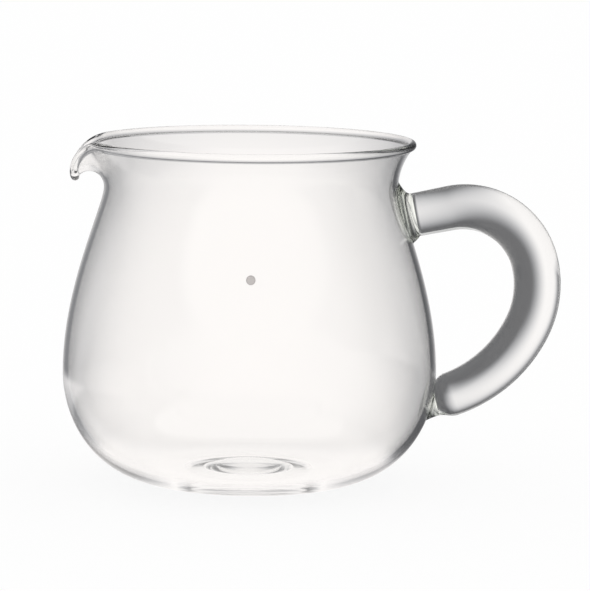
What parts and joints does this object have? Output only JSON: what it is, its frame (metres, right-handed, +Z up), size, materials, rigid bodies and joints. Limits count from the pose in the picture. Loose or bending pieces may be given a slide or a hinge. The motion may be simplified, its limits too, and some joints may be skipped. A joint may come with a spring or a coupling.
{
  "type": "glass pitcher",
  "caption": "Small round-bellied blown glass pitcher with a pulled spout, a flared lip, a bent glass rod handle and a fill dot, for serving coffee, milk or water.",
  "frame": {"origin": "on the bowl's vertical axis, in the plane of the flat ring that the jug stands on", "axes": "+Z up; +X from the bowl's axis through the handle; -X through the spout, so X is the longest extent; -Y through the fill dot; Z is the shortest extent"},
  "size_m": [0.1231, 0.0926, 0.0852],
  "materials": {
    "bowl_glass": "clear borosilicate glass, blown, fire-polished and smooth",
    "rod_glass": "clear solid borosilicate rod, flame-bent and smooth",
    "weld_glass": "clear borosilicate glass fused in the flame, with the faint green of thick glass",
    "dot_enamel": "pale warm grey enamel, fired, satin"
  },
  "bodies": {
    "root": {"body": "bowl_glass", "handle": "rod_glass", "upper_weld": "weld_glass", "lower_weld": "weld_glass", "fill_mark": "dot_enamel"}
  },
  "joints": []
}
